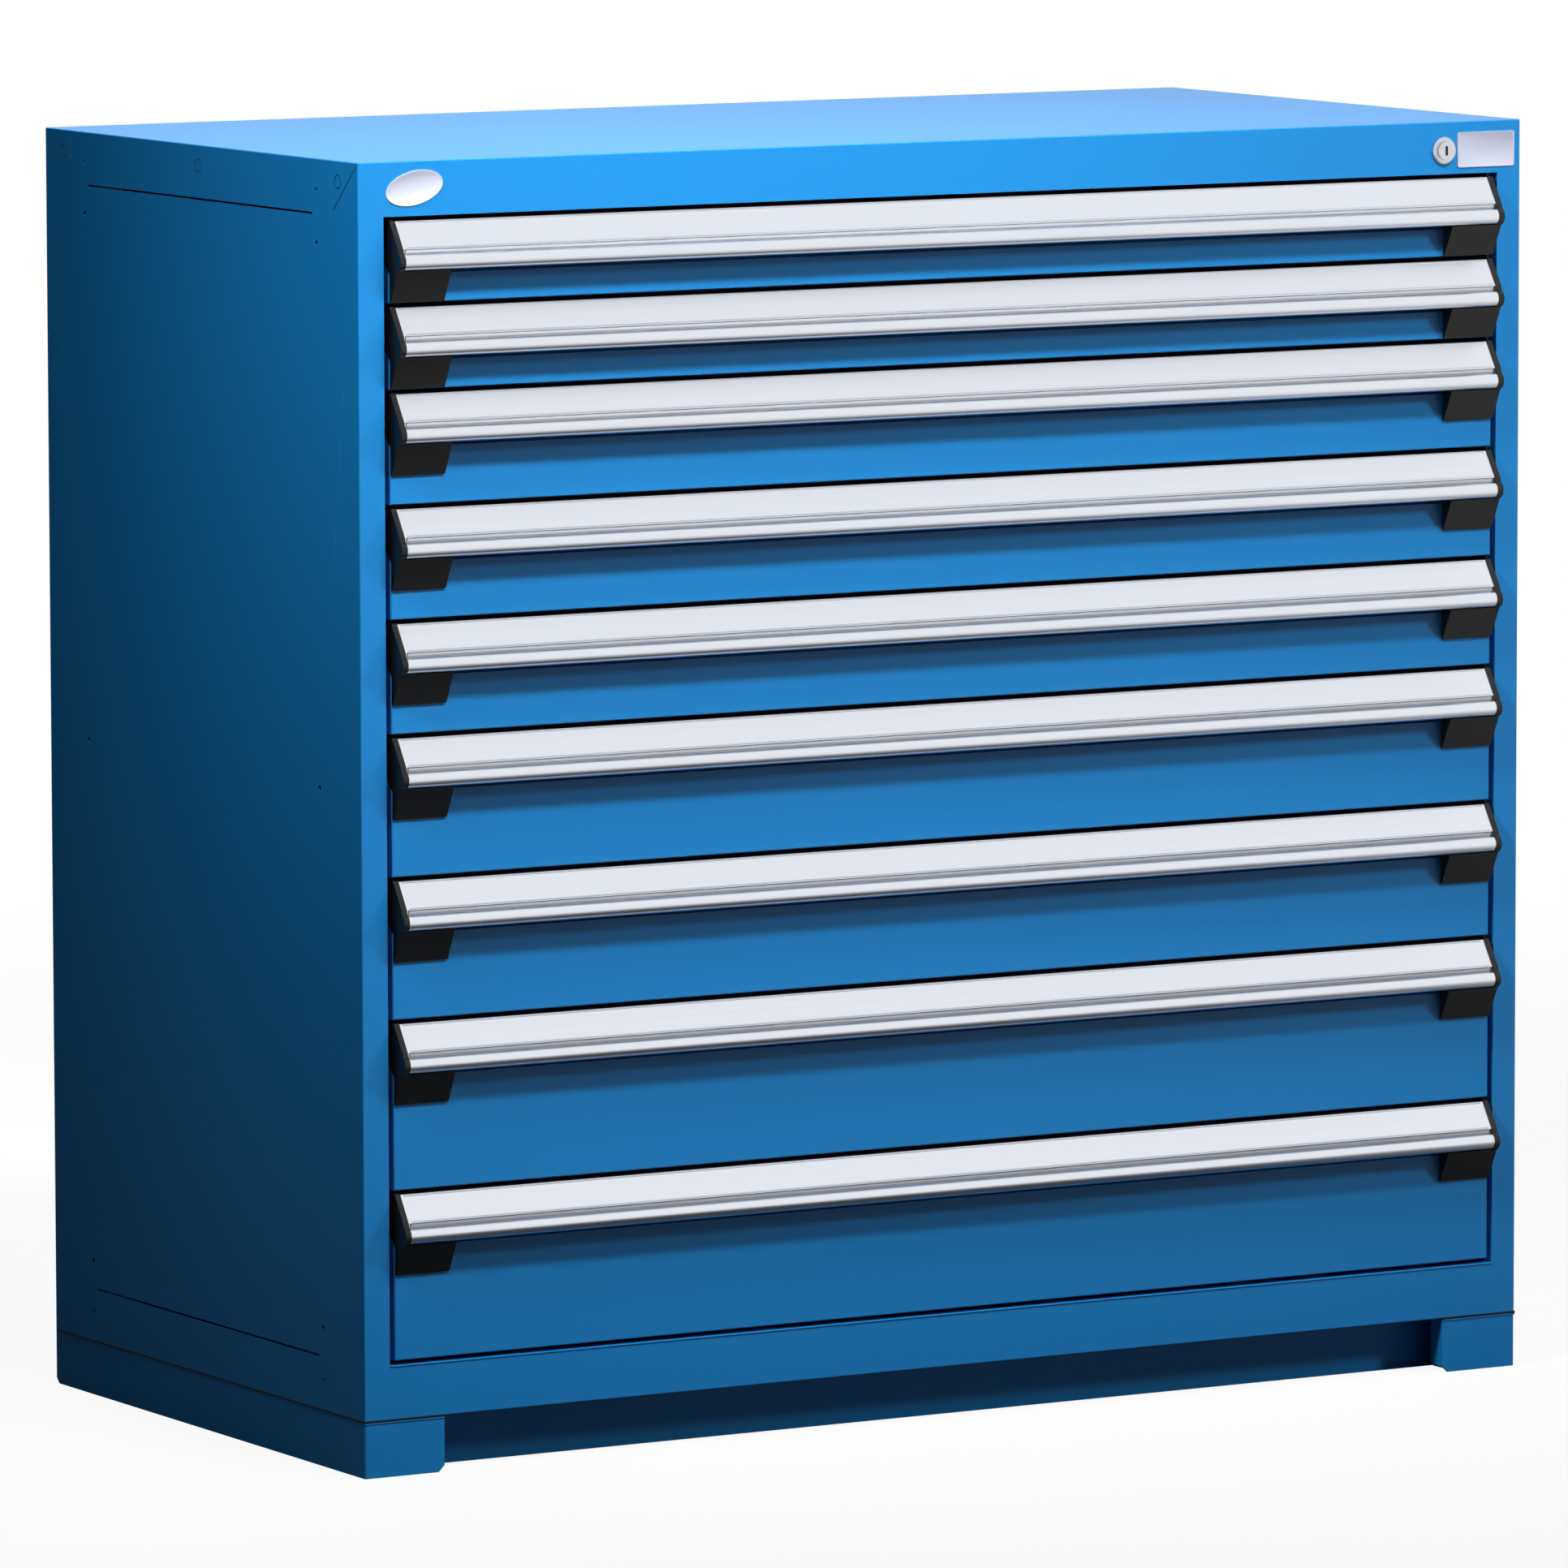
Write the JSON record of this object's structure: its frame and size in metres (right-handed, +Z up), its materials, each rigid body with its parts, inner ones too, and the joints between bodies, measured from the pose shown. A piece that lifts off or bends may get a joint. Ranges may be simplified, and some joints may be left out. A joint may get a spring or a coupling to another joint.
{
  "type": "drawer cabinet",
  "caption": "Wide steel drawer cabinet on a low base, with full-width drawers of several heights, sloped aluminium label handles with black ends, full-extension slides and a keyed bar lock.",
  "frame": {"origin": "on the floor, in the middle of the whole cabinet's footprint with its handles", "axes": "+X to the right as seen from the front, +Y to the back, +Z up; the drawers open along -Y"},
  "size_m": [1.2192, 0.6316, 1.1684],
  "materials": {
    "housing_enamel": "fine-textured blue powder coat",
    "drawer_enamel": "fine-textured blue powder coat",
    "base_enamel": "fine-textured blue powder coat",
    "box_enamel": "light grey powder coat",
    "handle_aluminium": "satin anodised",
    "cap_plastic": "black moulded plastic, light grain",
    "rail_zinc": "zinc plated",
    "slide_zinc": "zinc plated",
    "lock_metal": "satin chromed",
    "key_metal": "satin chromed",
    "bar_zinc": "zinc plated"
  },
  "bodies": {
    "root": {"front_frame": "housing_enamel", "left_side_panel": "housing_enamel", "right_side_panel": "housing_enamel", "top_panel": "housing_enamel", "bottom_panel": "housing_enamel", "back_panel": "housing_enamel", "uprights": "rail_zinc", "cabinet_rails": "rail_zinc", "base_side_rails": "base_enamel", "kick_plate": "base_enamel", "rear_base_rail": "base_enamel", "lock_housing": "lock_metal"},
    "lock_plug": {"lock_plug": "key_metal"},
    "lock_bar": {"lock_bar": "bar_zinc", "lock_hooks": "bar_zinc"},
    "drawer_1": {"drawer_1_box": "box_enamel", "drawer_1_front": "drawer_enamel", "drawer_1_handle": "handle_aluminium", "drawer_1_end_caps": "cap_plastic"},
    "carriage_1": {"slide_1_carriage": "slide_zinc"},
    "drawer_2": {"drawer_2_box": "box_enamel", "drawer_2_front": "drawer_enamel", "drawer_2_handle": "handle_aluminium", "drawer_2_end_caps": "cap_plastic"},
    "carriage_2": {"slide_2_carriage": "slide_zinc"},
    "drawer_3": {"drawer_3_box": "box_enamel", "drawer_3_front": "drawer_enamel", "drawer_3_handle": "handle_aluminium", "drawer_3_end_caps": "cap_plastic"},
    "carriage_3": {"slide_3_carriage": "slide_zinc"},
    "drawer_4": {"drawer_4_box": "box_enamel", "drawer_4_front": "drawer_enamel", "drawer_4_handle": "handle_aluminium", "drawer_4_end_caps": "cap_plastic"},
    "carriage_4": {"slide_4_carriage": "slide_zinc"},
    "drawer_5": {"drawer_5_box": "box_enamel", "drawer_5_front": "drawer_enamel", "drawer_5_handle": "handle_aluminium", "drawer_5_end_caps": "cap_plastic"},
    "carriage_5": {"slide_5_carriage": "slide_zinc"},
    "drawer_6": {"drawer_6_box": "box_enamel", "drawer_6_front": "drawer_enamel", "drawer_6_handle": "handle_aluminium", "drawer_6_end_caps": "cap_plastic"},
    "carriage_6": {"slide_6_carriage": "slide_zinc"},
    "drawer_7": {"drawer_7_box": "box_enamel", "drawer_7_front": "drawer_enamel", "drawer_7_handle": "handle_aluminium", "drawer_7_end_caps": "cap_plastic"},
    "carriage_7": {"slide_7_carriage": "slide_zinc"},
    "drawer_8": {"drawer_8_box": "box_enamel", "drawer_8_front": "drawer_enamel", "drawer_8_handle": "handle_aluminium", "drawer_8_end_caps": "cap_plastic"},
    "carriage_8": {"slide_8_carriage": "slide_zinc"},
    "drawer_9": {"drawer_9_box": "box_enamel", "drawer_9_front": "drawer_enamel", "drawer_9_handle": "handle_aluminium", "drawer_9_end_caps": "cap_plastic"},
    "carriage_9": {"slide_9_carriage": "slide_zinc"}
  },
  "joints": [
    {"name": "lock_bar_slide", "type": "slide", "parent": "root", "child": "lock_bar", "axis": [0, 0, -1], "range_m": [0, 0.01]},
    {"name": "lock_turn", "type": "hinge", "parent": "root", "child": "lock_plug", "pos_m": [0.525, -0.2938, 1.142], "axis": [0, 1, 0], "range_deg": [0, 90]},
    {"name": "drawer_1_slide", "type": "slide", "parent": "root", "child": "drawer_1", "axis": [0, -1, 0], "range_m": [0, 0.533]},
    {"name": "carriage_1_slide", "type": "slide", "parent": "root", "child": "carriage_1", "axis": [0, -1, 0], "range_m": [0, 0.2665]},
    {"name": "drawer_2_slide", "type": "slide", "parent": "root", "child": "drawer_2", "axis": [0, -1, 0], "range_m": [0, 0.533]},
    {"name": "carriage_2_slide", "type": "slide", "parent": "root", "child": "carriage_2", "axis": [0, -1, 0], "range_m": [0, 0.2665]},
    {"name": "drawer_3_slide", "type": "slide", "parent": "root", "child": "drawer_3", "axis": [0, -1, 0], "range_m": [0, 0.533]},
    {"name": "carriage_3_slide", "type": "slide", "parent": "root", "child": "carriage_3", "axis": [0, -1, 0], "range_m": [0, 0.2665]},
    {"name": "drawer_4_slide", "type": "slide", "parent": "root", "child": "drawer_4", "axis": [0, -1, 0], "range_m": [0, 0.533]},
    {"name": "carriage_4_slide", "type": "slide", "parent": "root", "child": "carriage_4", "axis": [0, -1, 0], "range_m": [0, 0.2665]},
    {"name": "drawer_5_slide", "type": "slide", "parent": "root", "child": "drawer_5", "axis": [0, -1, 0], "range_m": [0, 0.533]},
    {"name": "carriage_5_slide", "type": "slide", "parent": "root", "child": "carriage_5", "axis": [0, -1, 0], "range_m": [0, 0.2665]},
    {"name": "drawer_6_slide", "type": "slide", "parent": "root", "child": "drawer_6", "axis": [0, -1, 0], "range_m": [0, 0.533]},
    {"name": "carriage_6_slide", "type": "slide", "parent": "root", "child": "carriage_6", "axis": [0, -1, 0], "range_m": [0, 0.2665]},
    {"name": "drawer_7_slide", "type": "slide", "parent": "root", "child": "drawer_7", "axis": [0, -1, 0], "range_m": [0, 0.533]},
    {"name": "carriage_7_slide", "type": "slide", "parent": "root", "child": "carriage_7", "axis": [0, -1, 0], "range_m": [0, 0.2665]},
    {"name": "drawer_8_slide", "type": "slide", "parent": "root", "child": "drawer_8", "axis": [0, -1, 0], "range_m": [0, 0.533]},
    {"name": "carriage_8_slide", "type": "slide", "parent": "root", "child": "carriage_8", "axis": [0, -1, 0], "range_m": [0, 0.2665]},
    {"name": "drawer_9_slide", "type": "slide", "parent": "root", "child": "drawer_9", "axis": [0, -1, 0], "range_m": [0, 0.533]},
    {"name": "carriage_9_slide", "type": "slide", "parent": "root", "child": "carriage_9", "axis": [0, -1, 0], "range_m": [0, 0.2665]}
  ],
  "couplings": [
    {"joint": "lock_turn", "follows": "lock_bar_slide", "rad_per_m": 157.08},
    {"joint": "carriage_1_slide", "follows": "drawer_1_slide", "ratio": 0.5},
    {"joint": "carriage_2_slide", "follows": "drawer_2_slide", "ratio": 0.5},
    {"joint": "carriage_3_slide", "follows": "drawer_3_slide", "ratio": 0.5},
    {"joint": "carriage_4_slide", "follows": "drawer_4_slide", "ratio": 0.5},
    {"joint": "carriage_5_slide", "follows": "drawer_5_slide", "ratio": 0.5},
    {"joint": "carriage_6_slide", "follows": "drawer_6_slide", "ratio": 0.5},
    {"joint": "carriage_7_slide", "follows": "drawer_7_slide", "ratio": 0.5},
    {"joint": "carriage_8_slide", "follows": "drawer_8_slide", "ratio": 0.5},
    {"joint": "carriage_9_slide", "follows": "drawer_9_slide", "ratio": 0.5}
  ]
}
